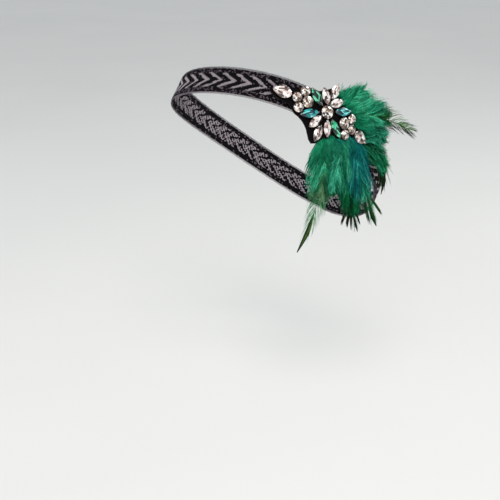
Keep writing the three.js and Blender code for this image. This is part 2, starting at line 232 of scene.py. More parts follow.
# Ribbon: a thin dark ground with every weft float on it, gauze edges and a sewn lap
ribbonSize = {
    "width": 20,
    "ground": 17.2,  # dark woven part between the gauze edges
    "columns": 280,  # of the ground's mesh
    "rows": 8,
    "wall": 0.7,
    "middle": -0.5,  # of the wall, from the outer side
    "lap": 18,
    "lapRise": 26,  # length over which the outer end climbs
    "lapStep": 1.3,
}
floatSize = {
    "faceOut": -0.1,  # foot of the floats on the face, from the ribbon's outer side
    "facePitch": 0.9,  # from float to float along the ribbon
    "faceRows": 26,
    "reverseOut": -0.9,
    "reversePitch": 1.3,
    "reverseRows": 19,
    "edge": 0.35,  # from the outermost row to the edge of the ground
    "halfLong": 0.73,  # as a share of the pitch, so that neighbours overlap
    "halfBroad": 0.62,  # as a share of the space between rows
    "high": 0.26,
    "silverHigh": 1.15,  # how many times as high a silver float stands
    "sunk": 0.12,  # below its foot
    "specks": 0.05,  # share of grey floats in the middle
    "borderSpecks": 0.27,
    "reverseSpecks": 0.12,
}
chevron = {
    "pitch": 10.07,
    "firstPoint": -20.85,  # along the ribbon from the front
    "lean": 1.92,  # how far an arm runs back for each millimetre across
    "stroke": 3.5,
    "reach": 5.3,  # across, from the middle
    "ragged": 0.48,
    "strokes": 80,  # more than go round the ribbon
    "pairs": 20,  # of rows that are ragged together
}
gauzeSize = {
    "step": 0.52,  # from thread to thread of the net
    "sunk": 0.5,  # below the ribbon's outer side
    "overlap": 0.3,  # onto the ground
    "net": 0.09,  # half breadth of a thread
    "threads": ((8.75, 0.11), (9.3, 0.08), (9.8, 0.12)),  # along the edge: rise, half breadth
    "hairs": 1250,
    "hair": 0.04,
    "hairLong": (0.6, 2),
    "hairFrom": (8.6, 9.9),
    "hairPast": 1.3,  # at most, past the ribbon's edge
}
stitchSize = {
    "rows": (2, 15.5),  # from the ribbon's end
    "each": 9,  # stitches in a row
    "reach": 7.4,
    "long": 1.25,
    "slant": 0.5,
    "hump": 0.28,
    "lift": 0.1,
    "thread": 0.17,
}

ribbonStart = -ringLength / 2 - ribbonSize["lap"] / 2
ribbonEnd = ringLength / 2 + ribbonSize["lap"] / 2


def lapOver(arc):  # the outer end steps over the inner one
    top = ribbonEnd - ribbonSize["lap"]
    return ease(arc, top - ribbonSize["lapRise"], top) * ribbonSize["lapStep"]


def yarn(name, dark, light, metallic, roughness):
    # spun filament: streaks finer than a thread, drawn at 0.4 mm so that they show
    material, tree, place = startMaterial(name)
    fibre = addNode(tree, "ShaderNodeTexNoise", {},
                    {"Vector": (place, "Object"), "Scale": 1 / (0.4 * mm), "Detail": 3})
    colour = addNode(tree, "ShaderNodeMix", {"data_type": "RGBA"},
                     {0: (fibre, "Fac"), 6: paint(dark), 7: paint(light)})
    gloss = addNode(tree, "ShaderNodeMapRange", {},
                    {"Value": (fibre, "Fac"), "To Min": roughness - 0.12, "To Max": roughness + 0.12})
    grain = addNode(tree, "ShaderNodeBump", {},
                    {"Height": (fibre, "Fac"), "Strength": 0.4, "Distance": 0.05 * mm})
    body = addNode(tree, "ShaderNodeBsdfPrincipled", {},
                   {"Base Color": (colour, 2), "Roughness": (gloss, "Result"), "Normal": (grain, "Normal"),
                    "Metallic": metallic, "Specular IOR Level": 0.12})
    addNode(tree, "ShaderNodeOutputMaterial", {}, {"Surface": (body, "BSDF")})
    return material


blackYarn = yarn("black_polyester_yarn", "#030203", "#120d14", 0, 0.8)
silverYarn = yarn("silver_metallic_yarn", "#978d95", "#d6cdd4", 0.15, 0.45)
speckYarn = yarn("violet_grey_metallic_yarn", "#4a404b", "#8f838f", 0.25, 0.45)
gauzeYarn = yarn("pale_gauze_yarn", "#6a6068", "#91878f", 0, 0.65)
duskYarn = yarn("dusky_gauze_yarn", "#352d36", "#685f69", 0, 0.65)


def ribbonGround():
    piece, flat = flatGrid("ribbon_ground", ribbonSize["columns"], ribbonSize["rows"])
    arc = ribbonStart + (flat[:, 0] + 1) / 2 * (ribbonEnd - ribbonStart)
    rise = flat[:, 1] * ribbonSize["ground"] / 2
    thickSheet(piece, onRing(arc, rise, ribbonSize["middle"] + lapOver(arc)), ribbonSize["wall"])
    finishSheet(piece, 40, blackYarn)
    return piece


def floats(name, out, pitch, rows, reverse):
    along = np.arange(ribbonStart + 0.5, ribbonEnd - 0.4, pitch)
    across = np.linspace(-1, 1, rows) * (ribbonSize["ground"] / 2 - floatSize["edge"])
    row, column = np.meshgrid(np.arange(rows), np.arange(len(along)))
    rise = across[row] + draw.normal(0, 0.03, row.shape)
    arc = along[column] + (row % 2) * pitch / 2 + draw.normal(0, 0.05, row.shape)
    arc, rise = arc.ravel(), rise.ravel()
    # the chart: arrow strokes behind each point, ragged by a thread or so
    chart = arc + chevron["lean"] * np.abs(rise) - chevron["firstPoint"]
    behind = chart % chevron["pitch"]
    which = np.floor(chart / chevron["pitch"]).astype(int) + chevron["strokes"] // 2
    ragged = draw.normal(0, chevron["ragged"], (chevron["strokes"], chevron["pairs"]))
    ragged = ragged[which, row.ravel() // 2]
    stroke = behind > chevron["pitch"] - chevron["stroke"] + ragged + draw.normal(0, 0.12, arc.shape)
    silver = stroke & (np.abs(rise) < chevron["reach"] + draw.normal(0, 0.15, arc.shape))
    border = np.abs(rise) > chevron["reach"]
    specks = np.where(border, floatSize["borderSpecks"], floatSize["specks"])
    speck = ~silver & (draw.random(arc.shape) < specks)
    if reverse:  # it shows the floats that the face hides
        tied = (row + 2 * column).ravel() % 3 == 0
        silver = ~silver & ~border & ~tied
        speck = ~silver & (draw.random(arc.shape) < floatSize["reverseSpecks"])
    picks = np.where(silver, 1, np.where(speck, 2, 0))
    half = floatSize["halfLong"] * pitch * (1 + draw.normal(0, 0.08, arc.shape))
    broad = np.full(arc.shape, floatSize["halfBroad"] * (across[1] - across[0]))
    high = floatSize["high"] * np.where(silver, floatSize["silverHigh"], 1)
    high = high * (1 + draw.normal(0, 0.12, arc.shape))
    skew = draw.normal(0, 0.06, arc.shape)
    sign = -1 if reverse else 1
    base = out + lapOver(arc)
    corners = [
        onRing(arc - half, rise - skew, base),
        onRing(arc, rise - broad, base),
        onRing(arc + half, rise + skew, base),
        onRing(arc, rise + broad, base),
        onRing(arc, rise, base + sign * high),
        onRing(arc, rise, base - sign * floatSize["sunk"]),
    ]
    points = np.stack(corners, axis=1)
    one = [[k, (k + 1) % 4, 4] for k in range(4)] + [[(k + 1) % 4, k, 5] for k in range(4)]
    starts = np.arange(len(arc)) * len(corners)
    faces = (np.array(one)[None] + starts[:, None, None]).reshape(-1, 3)
    a, b, c = (points[0][f] for f in one[0])
    if np.dot(np.cross(b - a, c - a), points[0][4] - points[0][5]) < 0:
        faces = faces[:, ::-1]
    return arrayPiece(name, points.reshape(-1, 3), faces, [blackYarn, silverYarn, speckYarn],
                      picks=np.repeat(picks, len(one)))


def threads(paths, thick):  # even strands that lie flat on the loop
    size = np.full(paths.shape[:2], thick)
    return strands(paths, size, size, unit(paths.mean(axis=1))[:, None])


def gauzeEdge(name, sign, net, darkShare):
    inner, outer = ribbonSize["ground"] / 2 - gauzeSize["overlap"], ribbonSize["width"] / 2
    step, sunk = gauzeSize["step"], gauzeSize["sunk"]
    arc = np.arange(ribbonStart + 1, ribbonEnd - 1, step)
    parts = []
    for lean in (-0.5, 0.5):  # crossing threads of the net
        share = np.linspace(0, 1, 4)
        spot = arc[:, None] + lean * step * 2 * (share - 0.5) + draw.normal(0, 0.06, (len(arc), 1))
        rise = inner + (outer - inner) * share + draw.normal(0, 0.05, (len(arc), 1)) * share
        paths = onRing(spot, sign * rise, lapOver(spot) - sunk + lean * 0.2)
        parts.append(threads(paths, gauzeSize["net"]))
    for rise, thick in gauzeSize["threads"]:
        spot = np.linspace(ribbonStart + 0.6, ribbonEnd - 0.6, 420)
        wander = 0.07 * np.sin(spot * 2.1 + rise) + 0.05 * np.sin(spot * 0.63)
        path = onRing(spot, sign * (rise + wander), lapOver(spot) - sunk)[None]
        size = np.full((1, len(spot)), thick)
        parts.append(strands(path, size, size, unit(path)))
    count = gauzeSize["hairs"]
    spot = draw.uniform(ribbonStart + 1, ribbonEnd - 1, count)
    span = draw.uniform(*gauzeSize["hairLong"], count)
    share = np.array([0, 0.5, 1])
    swing = draw.normal(0, 0.6, count)[:, None] * share
    rise = draw.uniform(*gauzeSize["hairFrom"], count)[:, None] + span[:, None] * 0.75 * share
    rise = np.minimum(rise, outer + gauzeSize["hairPast"])
    lift = draw.normal(0.1, 0.35, count)[:, None] * share
    paths = onRing(spot[:, None] + swing, sign * rise, lapOver(spot)[:, None] - sunk + lift)
    parts.append(threads(paths, gauzeSize["hair"]))
    points, faces = joined(parts)
    hairFaces = len(parts[-1][1])
    picks = np.zeros(len(faces))
    picks[-hairFaces:] = np.repeat(draw.random(count) < darkShare, hairFaces // count)
    return arrayPiece(name, points, faces, [net, blackYarn], picks=picks)


def lapStitches():  # rows of hand stitches across the lap
    parts = []
    share = np.linspace(0, 1, 6)
    rise = np.linspace(-stitchSize["reach"], stitchSize["reach"], stitchSize["each"])
    across = rise[:, None] + (share - 0.5) * stitchSize["long"]
    hump = stitchSize["hump"] * np.sin(np.pi * share) + ribbonSize["lapStep"] + stitchSize["lift"]
    for inset in stitchSize["rows"]:
        along = ribbonEnd - inset + (share - 0.5) * stitchSize["slant"]
        along, out = (np.broadcast_to(line, across.shape) for line in (along, hump))
        parts.append(threads(onRing(along, across, out), stitchSize["thread"]))
    points, faces = joined(parts)
    return arrayPiece("lap_stitches", points, faces, [blackYarn])


ground = ribbonGround()
ribbonFace = floats("ribbon_face", floatSize["faceOut"], floatSize["facePitch"],
                    floatSize["faceRows"], False)
ribbonReverse = floats("ribbon_reverse", floatSize["reverseOut"], floatSize["reversePitch"],
                       floatSize["reverseRows"], True)
edges = [gauzeEdge("gauze_edge_upper", 1, duskYarn, 0.75),
         gauzeEdge("gauze_edge_lower", -1, gauzeYarn, 0.4)]
sewing = lapStitches()
for piece in [ground, ribbonFace, ribbonReverse, *edges, sewing]:
    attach(piece, "root")
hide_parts("band")
print("ribbon woven,", len(ribbonFace.data.vertices) // 6, "floats on the face")


# Felt: the plate under the stones, soft at its rim and hairy
feltSize = {
    "columns": 90,  # of the plate's mesh
    "rows": 20,
    "under": 1.8,  # from the ribbon's outer side to the plate
    "wall": 1.5,
    "rim": 0.5,
    "hairs": 1900,
    "hair": 0.035,
    "hairLong": 0.9,
    "hairReach": 36.5,  # along, from the middle
}
feltSpread = [  # distance along from the middle, reach below, reach above
    (0, 22.6, 19.6), (2.5, 21.2, 16.6), (5, 18.2, 14.2), (7.2, 15.4, 12.6), (9.4, 13.6, 10.6),
    (12, 11.9, 10), (15, 10.6, 9.6), (18, 9.8, 9.2), (21, 7.6, 6.9), (23.5, 5.4, 4.6),
    (27, 4.9, 4.4), (31, 4.5, 4.2), (34, 3.4, 3.2), (36.4, 1.9, 1.7), (38, 0.6, 0.5),
]


def feltReach(u):
    run, below, above = np.array(feltSpread, float).T
    return np.interp(np.abs(u), run, below), np.interp(np.abs(u), run, above)


def woolFelt():
    # pressed wool: matted fibres about 0.3 mm across and soft blotches of a few millimetres
    material, tree, place = startMaterial("black_wool_felt")
    fibre = addNode(tree, "ShaderNodeTexNoise", {},
                    {"Vector": (place, "Object"), "Scale": 1 / (0.3 * mm), "Detail": 4, "Distortion": 1.5})
    blotch = addNode(tree, "ShaderNodeTexNoise", {}, {"Vector": (place, "Object"), "Scale": 1 / (4 * mm)})
    both = addNode(tree, "ShaderNodeMath", {"operation": "MULTIPLY"}, {0: (fibre, "Fac"), 1: (blotch, "Fac")})
    colour = addNode(tree, "ShaderNodeMix", {"data_type": "RGBA"},
                     {0: (both, "Value"), 6: paint("#020102"), 7: paint("#171214")})
    grain = addNode(tree, "ShaderNodeBump", {},
                    {"Height": (fibre, "Fac"), "Strength": 0.7, "Distance": 0.15 * mm})
    body = addNode(tree, "ShaderNodeBsdfPrincipled", {},
                   {"Base Color": (colour, 2), "Normal": (grain, "Normal"), "Roughness": 0.95,
                    "Specular IOR Level": 0.1, "Sheen Weight": 0.04, "Sheen Roughness": 0.5})
    addNode(tree, "ShaderNodeOutputMaterial", {}, {"Surface": (body, "BSDF")})
    return material


def feltPlate(material):
    piece, flat = flatGrid("felt_plate", feltSize["columns"], feltSize["rows"])
    u = flat[:, 0] * feltSpread[-1][0]
    below, above = feltReach(u)
    v = -below + (flat[:, 1] + 1) / 2 * (below + above)
    thickSheet(piece, onSpray(u, v, feltSize["under"] + feltSize["wall"] / 2), feltSize["wall"])
    softEdges(piece, feltSize["rim"] * mm, 3, 60)
    finishSheet(piece, 50, material)
    return piece


def feltHairs(material):
    count = feltSize["hairs"]
    u = draw.uniform(-feltSize["hairReach"], feltSize["hairReach"], count)
    below, above = feltReach(u)
    high = draw.random(count) < 0.5
    atRim = draw.random(count) < 0.6
    inside = draw.random(count)
    edge = np.where(high, above, -below)
    v = np.where(atRim, edge * 0.985, -below + inside * (below + above))
    outward = np.where(atRim, np.sign(edge), 0)
    share = np.array([0, 0.5, 1])
    size = feltSize["hairLong"] * draw.uniform(0.4, 1, count)
    along = u[:, None] + (draw.normal(0, 0.5, count) * size)[:, None] * share
    across = v[:, None] + ((outward * 0.6 + draw.normal(0, 0.35, count)) * size)[:, None] * share
    top = feltSize["under"] + np.where(atRim, draw.uniform(0.3, 1.4, count), feltSize["wall"] - 0.05)
    lift = top[:, None] + (np.where(atRim, 0.15, 0.35) * size)[:, None] * share
    paths = onSpray(along, across, lift)
    width = np.full(along.shape, feltSize["hair"])
    points, faces = strands(paths, width, width, sprayBasis(0, 0)[2])
    return arrayPiece("felt_hairs", points, faces, [material])


felt = woolFelt()
plate = feltPlate(felt)
hairs = feltHairs(felt)
for piece in (plate, hairs):
    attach(piece, "root")
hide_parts("backing")
print("felt plate laid")


# Stones and settings: each size modelled once, then copied to its seat
cupSize = {"lift": 3.6, "rim": 1.7, "floor": 0.6, "wall": 0.45, "inset": 0.1, "foot": 0.4, "sides": 40,
           "floorShare": 0.86, "soft": 0.08}
clawSize = {"width": 0.8, "thick": 0.35, "reach": 0.95, "root": 1.2, "bend": 2.55, "top": 3.1, "inset": 0.05,
            "tipDrop": 0.2, "tipShare": (0.9, 0.7, 0.6), "soft": 0.09}
stoneSize = {"inset": -0.1, "girdle": 2, "table": 3, "culet": 0.9, "tableRing": 0.2}
clawTurns = {"round": (36, 144, 216, 324), "navette": (0, 180), "pear": (0, 120, 240)}
stoneRows = [  # name, cut, along, across, turn, half length, half breadth, slot
    ("centre", "round", 0, 0, 0, 4.1, 4.1, "champagne_glass"),
    ("round_fore_inner", "round", -14, 0, 0, 3.7, 3.7, "champagne_glass"),
    ("round_fore_upper", "round", -18, 5.8, 0, 3.1, 3.1, "champagne_glass"),
    ("round_fore_lower", "round", -17.8, -5.9, 0, 3.1, 3.1, "champagne_glass"),
    ("round_fore_outer", "round", -21.1, 0, 0, 3.1, 3.1, "champagne_glass"),
    ("round_aft_inner", "round", 14, 0, 0, 3.7, 3.7, "champagne_glass"),
    ("round_aft_upper", "round", 18, 5.8, 0, 3.1, 3.1, "champagne_glass"),
    ("round_aft_lower", "round", 18, -5.8, 0, 3.1, 3.1, "champagne_glass"),
    ("round_aft_outer", "round", 21.1, 0, 0, 3.1, 3.1, "champagne_glass"),
    ("pear_fore", "pear", -30.3, 0, 180, 6.7, 3.8, "clear_glass"),
    ("pear_aft", "pear", 30.3, 0, 0, 6.7, 3.8, "clear_glass"),
    ("emerald_fore", "navette", -10.1, 5.7, 145, 6.4, 2.75, "emerald_glass"),
    ("emerald_aft", "navette", 10, -6.3, -31, 6.4, 2.75, "emerald_glass"),
    ("teal_fore", "navette", -10, -6.3, 211, 6.4, 2.75, "teal_glass"),
    ("teal_aft", "navette", 10, 6.3, 31, 6.4, 2.75, "teal_glass"),
    ("petal_upper_fore", "navette", -5, 9, 127, 5.5, 2.75, "clear_glass"),
    ("petal_upper_aft", "navette", 3.2, 8.4, 42, 5.5, 2.75, "clear_glass"),
    ("petal_upper_middle", "navette", -0.8, 14.8, 89, 5.5, 2.9, "clear_glass"),
    ("petal_lower_fore", "navette", -4.6, -9.4, 244, 5.5, 2.75, "clear_glass"),
    ("petal_lower_aft", "navette", 4.6, -9.4, 296, 5.5, 2.75, "clear_glass"),
    ("petal_lower_middle", "navette", 0, -15.5, 270, 5.5, 2.8, "clear_glass"),
]
facetTones = {  # from deep to bright: the glass's own colour as foil shows it through the glass, with painted reflections and glints
    "clear_glass": ["#2e2321", "#796562", "#b8a19d", "#e7d2ca", "#f8f0ee", "#ffffff"],
    "champagne_glass": ["#2a1f1a", "#655147", "#957e6f", "#c2aa98", "#e6d7ca", "#ffffff"],
    "emerald_glass": ["#000d08", "#00291b", "#005035", "#008a58", "#12b87c", "#74ddb6"],
    "teal_glass": ["#001117", "#04303a", "#0a5b68", "#10979c", "#22c4c0", "#86e8e4"],
}
facetDepth = {"clear_glass": 0.9, "champagne_glass": 1.3, "emerald_glass": 1.7, "teal_glass": 1.05}
facetGlints = {"uneven": 0.18, "deep": 0.1, "bright": 0.12}  # shares of facets painted as dark reflections or as white glints; uneven is the spread of tone


def outline(cut, half, breadth, angle):
    c, s = math.cos(angle), math.sin(angle)
    if cut == "round":
        return half * c, half * s
    if cut == "navette":
        x = math.copysign(1 - (1 - abs(c)) ** 0.8, c)
        return half * x, breadth * math.copysign(abs(s) ** 1.25, s)
    taper = 1 - 0.42 * c if c > 0 else 1
    return half * (c if c > 0 else 0.82 * c) - half * 0.06, breadth * s * taper


def fitOutline(cut, half, breadth):  # bends the unit circles of the mesh being edited to the cut
    mesh = bmesh.from_edit_mesh(bpy.context.edit_object.data)
    for vert in mesh.verts:
        inset = (1 - math.hypot(vert.co.x, vert.co.y)) * breadth
        angle = math.atan2(vert.co.y, vert.co.x)
        vert.co.x, vert.co.y = outline(cut, half - inset, breadth - inset, angle)
    bmesh.update_edit_mesh(bpy.context.edit_object.data)


def pickFaces(test):
    bpy.ops.mesh.select_mode(type="FACE")
    mesh = bmesh.from_edit_mesh(bpy.context.edit_object.data)
    mesh.normal_update()
    for face in mesh.faces:
        face.select_set(test(face))
    mesh.select_flush_mode()
    bmesh.update_edit_mesh(bpy.context.edit_object.data)


def claw(edge):
    angle = math.atan2(-edge[1], -edge[0])  # towards the middle of the stone
    tall = clawSize["bend"] - clawSize["root"]
    bpy.ops.mesh.primitive_cube_add(size=1, location=(0, 0, clawSize["root"] + tall / 2))
    tab = bpy.context.object
    tab.scale = (clawSize["thick"], clawSize["width"], tall)
    bpy.ops.object.transform_apply(location=True, rotation=False, scale=True)
    bpy.ops.object.mode_set(mode="EDIT")
    pickFaces(lambda face: face.normal.z > 0.9)
    lean = (clawSize["reach"], 0, clawSize["top"] - clawSize["bend"] - clawSize["tipDrop"])
    bpy.ops.mesh.extrude_region_move(TRANSFORM_OT_translate={"value": lean})
    bpy.ops.transform.resize(value=clawSize["tipShare"])
    bpy.ops.object.mode_set(mode="OBJECT")
    softEdges(tab, clawSize["soft"], 2, 30)
    tab.matrix_world = Matrix.Translation((edge[0], edge[1], 0)) @ Matrix.Rotation(angle, 4, "Z")
    bpy.ops.object.transform_apply(location=True, rotation=True, scale=False)
    return tab


def settingMaster(cut, half, breadth):
    foot = 1 - (cupSize["foot"] + cupSize["inset"]) / breadth
    rim = 1 - cupSize["inset"] / breadth
    bpy.ops.mesh.primitive_cylinder_add(vertices=cupSize["sides"], radius=rim, depth=cupSize["rim"],
                                        location=(0, 0, cupSize["rim"] / 2))
    cup = bpy.context.object
    bpy.ops.object.transform_apply(location=True, rotation=False, scale=False)
    bpy.ops.object.mode_set(mode="EDIT")
    pickFaces(lambda face: face.normal.z < -0.9)
    bpy.ops.transform.resize(value=(foot / rim, foot / rim, 1))
    pickFaces(lambda face: face.normal.z > 0.9)
    bpy.ops.mesh.inset(thickness=cupSize["wall"] / breadth)
    bpy.ops.mesh.extrude_region_move(
        TRANSFORM_OT_translate={"value": (0, 0, cupSize["floor"] - cupSize["rim"])})
    bpy.ops.transform.resize(value=(cupSize["floorShare"], cupSize["floorShare"], 1))
    fitOutline(cut, half, breadth)
    bpy.ops.object.mode_set(mode="OBJECT")
    softEdges(cup, cupSize["soft"], 2, 50)
    inset = clawSize["inset"]
    tabs = []
    for turn in clawTurns[cut]:
        bpy.ops.object.select_all(action="DESELECT")
        tabs.append(claw(outline(cut, half - inset, breadth - inset, math.radians(turn))))
    bpy.ops.object.select_all(action="DESELECT")
    for part in [*tabs, cup]:
        part.select_set(True)
    bpy.context.view_layer.objects.active = cup
    bpy.ops.object.join()
    bpy.ops.object.shade_smooth_by_angle(angle=math.radians(35))
    bpy.ops.object.select_all(action="DESELECT")
    return cup


def stoneMaster(cut, half, breadth):
    inset = stoneSize["inset"]
    crown = stoneSize["table"] - stoneSize["girdle"]
    bpy.ops.mesh.primitive_circle_add(vertices=16, radius=1)
    stone = bpy.context.object
    bpy.ops.object.mode_set(mode="EDIT")
    rings = [  # corners, radius, height over the girdle, turn
        (16, 1, 0.14, 0), (8, 0.78, crown * 0.64, 22.5), (8, 0.54, crown, 0),
        (8, 0.5, -0.7, 22.5), (8, 0.12, stoneSize["culet"] - stoneSize["girdle"], 0),
    ]
    for corners, radius, height, turn in rings:
        bpy.ops.mesh.primitive_circle_add(vertices=corners, radius=radius, location=(0, 0, height),
                                          rotation=(0, 0, math.radians(turn)))
    fitOutline(cut, half - inset, breadth - inset)
    bpy.ops.mesh.select_all(action="SELECT")
    bpy.ops.mesh.convex_hull()
    bpy.ops.mesh.select_all(action="SELECT")
    bpy.ops.mesh.dissolve_limited(angle_limit=math.radians(0.6))
    pickFaces(lambda face: face.normal.z > 0.995)
    # pavilion facets seen through the table
    bpy.ops.mesh.inset(thickness=(breadth - inset) * stoneSize["tableRing"])
    bpy.ops.mesh.poke()
    bpy.ops.mesh.select_all(action="SELECT")
    bpy.ops.transform.translate(value=(0, 0, stoneSize["girdle"]))
    bpy.ops.mesh.normals_make_consistent(inside=False)
    bpy.ops.object.mode_set(mode="OBJECT")
    bpy.ops.object.select_all(action="DESELECT")
    return stone


def gunmetal():
    # dark plated brass: polished edges worn brighter, dull in the hollows
    material, tree, place = startMaterial("gunmetal_plated_brass")
    wear = addNode(tree, "ShaderNodeNewGeometry", {}, {})
    edge = addNode(tree, "ShaderNodeMapRange", {},
                   {"Value": (wear, "Pointiness"), "From Min": 0.5, "From Max": 0.58})
    tarnish = addNode(tree, "ShaderNodeTexNoise", {},
                      {"Vector": (place, "Object"), "Scale": 1 / (0.8 * mm), "Detail": 4})
    mottled = addNode(tree, "ShaderNodeMix", {"data_type": "RGBA"},
                      {0: (tarnish, "Fac"), 6: paint("#1c191b"), 7: paint("#4a4447")})
    colour = addNode(tree, "ShaderNodeMix", {"data_type": "RGBA"},
                     {0: (edge, "Result"), 6: (mottled, 2), 7: paint("#a39a98")})
    gloss = addNode(tree, "ShaderNodeMapRange", {},
                    {"Value": (tarnish, "Fac"), "To Min": 0.2, "To Max": 0.45})
    body = addNode(tree, "ShaderNodeBsdfPrincipled", {},
                   {"Base Color": (colour, 2), "Roughness": (gloss, "Result"), "Metallic": 0.9})
    addNode(tree, "ShaderNodeOutputMaterial", {}, {"Surface": (body, "BSDF")})
    return material


def foiledGlass(name):
    # cut glass over foil: each facet keeps its own tone, the glass's colour mixed with painted reflections
    # and glints, with a hard polish over all
    material, tree, place = startMaterial(name)
    facet = addNode(tree, "ShaderNodeAttribute", {"attribute_name": "facet"}, {})
    depth = addNode(tree, "ShaderNodeTexNoise", {},
                    {"Vector": (place, "Object"), "Scale": 1 / (1.1 * mm), "Detail": 1})
    shade = addNode(tree, "ShaderNodeMapRange", {},
                    {"Value": (depth, "Fac"), "From Min": 0.3, "From Max": 0.7,
                     "To Min": 0.85, "To Max": 1.15})
    colour = addNode(tree, "ShaderNodeVectorMath", {"operation": "SCALE"},
                     {0: (facet, "Color"), "Scale": (shade, "Result")})
    body = addNode(tree, "ShaderNodeBsdfPrincipled", {},
                   {"Base Color": (colour, "Vector"), "Metallic": 0.3, "Roughness": 0.14, "IOR": 1.56,
                    "Coat Weight": 0.25, "Coat Roughness": 0.02, "Coat IOR": 1.6})
    addNode(tree, "ShaderNodeOutputMaterial", {}, {"Surface": (body, "BSDF")})
    return material


def paintFacetGlints(piece, master, slot):
    # painted reflections and glints: each facet gets a tone from dark to bright in sectors round the stone,
    # and a few facets are painted near black or white
    palette = np.array([linear(tone) for tone in facetTones[slot]])
    spots = np.array([face.center for face in master.data.polygons])
    count = len(spots)
    angle = np.arctan2(spots[:, 1], spots[:, 0])
    sectors = np.sin(2 * angle + draw.uniform(0, 2 * np.pi)) + 0.5 * np.sin(5 * angle + draw.uniform(0, 6))
    share = 0.5 + 0.4 * sectors + draw.normal(0, facetGlints["uneven"], count)
    share = np.clip(share, 0, 1) ** facetDepth[slot]
    flash = draw.random(count)
    share = np.where(flash < facetGlints["deep"], 0.05, np.where(flash > 1 - facetGlints["bright"], 1, share))
    tint = np.stack([ramp(palette[:, k], share) for k in range(3)] + [np.ones(count)], axis=1)
    layer = piece.data.attributes.new("facet", "FLOAT_COLOR", "FACE")
    layer.data.foreach_set("color", tint.astype(np.float32).ravel())


def seatMatrix(u, v, turn):
    run, across, normal = sprayBasis(u, v)
    place = onSpray(u, v, cupSize["lift"]) * mm
    basis = Matrix([[run[k], across[k], normal[k], place[k]] for k in range(3)] + [[0, 0, 0, 1]])
    return basis @ Matrix.Rotation(math.radians(turn), 4, "Z") @ Matrix.Scale(mm, 4)


def seatCopy(master, name, matrix, material):
    mesh = master.data.copy()
    mesh.name = name
    mesh.transform(matrix)
    mesh.materials.clear()
    mesh.materials.append(material)
    piece = bpy.data.objects.new(name, mesh)
    bpy.context.scene.collection.objects.link(piece)
    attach(piece, "root")
    return piece


metal = gunmetal()
glass = {slot: foiledGlass("foiled_" + slot) for slot in facetTones}
masters = {}
for name, cut, u, v, turn, half, breadth, slot in stoneRows:
    size = (cut, half, breadth)
    if size not in masters:
        masters[size] = (settingMaster(*size), stoneMaster(*size))
    matrix = seatMatrix(u, v, turn)
    cup = seatCopy(masters[size][0], "cup_" + name, matrix, metal)
    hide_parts("setting_" + name)
    gem = seatCopy(masters[size][1], "gem_" + name, matrix, glass[slot])
    paintFacetGlints(gem, masters[size][1], slot)
    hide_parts("stone_" + name)
for pair in masters.values():
    for master in pair:
        bpy.data.objects.remove(master)
print("stones set,", len(stoneRows))


# Feathers: a shaft, downy barbs that stand up from it, and a smooth dark blade at the tip
plumeSize = {
    "quill": 0.4,
    "quillDye": "#1d4a2c",
    "quillTip": "#16240f",
    "seat": 0.9,  # over the ribbon, where the quills lie
    "hangStart": 10,  # how far down a feather begins to bow inwards
    "hangBow": 160,
    "aftStart": 25,
    "aftBow": 250,
    "hugFade": 10,  # length over which a quill leaves the ribbon
    "hugEnd": 45,  # along the ribbon, past which it turns away from the feathers
    "longest": 25,
    "stops": 6,  # along a barb
    "barb": 0.1,
    "barbule": 0.055,
    "barbules": 32,  # on each barb
    "rimBarbules": 28,
    "clump": 2.6,  # barbs this near each other draw together into a tuft
    "draft": 0.42,
    "fluff": 4.6,  # how far the down stands up
    "ripple": 0.7,
    "dyeChange": (0.45, 0.9),  # where along the down its end dye comes in
    "underWide": 0.5,  # half breadth of the lowest barbs
    "underThick": 0.1,
    "underSunk": 0.3,
    "overRim": 2.4,  # how far the down covers the felt
    "rimLong": (6, 13),
    "rimRipple": 0.5,
    "wispBack": 8,  # how far back in the down the wisps begin
    "wispReach": (8, 5, 3.2),  # sideways, from the end of the down onwards
    "wispAngle": (40, 28, 17),
    "wispRipple": 0.3,
    "wisp": 0.13,  # half breadth where a blade follows
    "looseWisp": 0.2,  # half breadth where none does
    "blade": 0.24,
    "bladeThick": 0.09,
    "spike": 0.5,
    "spikeBarbs": 6,
}
